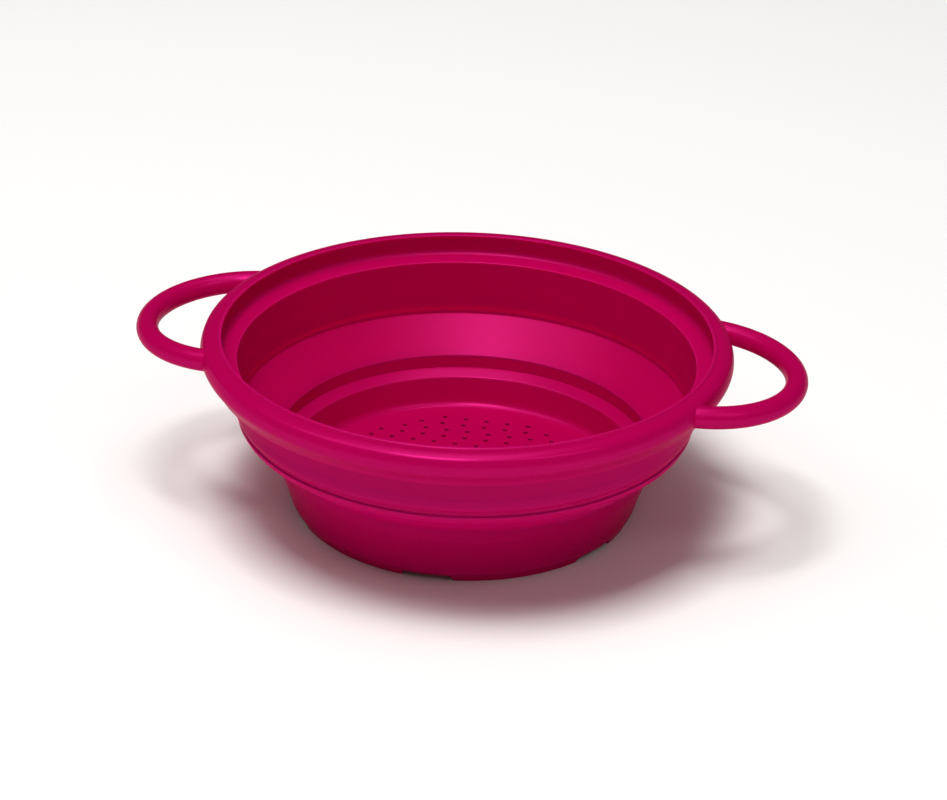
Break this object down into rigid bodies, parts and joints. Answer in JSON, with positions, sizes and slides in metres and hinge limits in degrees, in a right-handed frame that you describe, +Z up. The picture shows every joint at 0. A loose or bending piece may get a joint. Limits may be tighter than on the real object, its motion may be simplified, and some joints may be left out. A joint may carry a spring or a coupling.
{
  "type": "collapsible colander",
  "caption": "Round collapsible colander with two fixed loop handles, a thin wall that folds inside out, a perforated dish and a notched foot.",
  "frame": {"origin": "centre of the foot ring, on the surface that the colander stands on", "axes": "+X towards the right handle, +Z up along the bowl's axis, +Y away from the viewer"},
  "size_m": [0.2936, 0.2296, 0.08],
  "materials": {
    "rigid": "satin crimson polypropylene",
    "soft": "matt crimson thermoplastic elastomer"
  },
  "bodies": {
    "base": {"foot_skirt": "rigid", "dish_wall": "rigid", "strainer_plate": "rigid", "base_hoop": "rigid", "fold_membrane": "soft"},
    "rim": {"collar_wall": "soft", "collar_hoop": "rigid", "rim_frame": "rigid", "handle_left": "rigid", "handle_right": "rigid"}
  },
  "joints": [
    {"name": "collapse", "type": "slide", "parent": "base", "child": "rim", "axis": [0, 0, -1], "range_m": [0, 0.032], "deforming": ["fold_membrane"]}
  ]
}
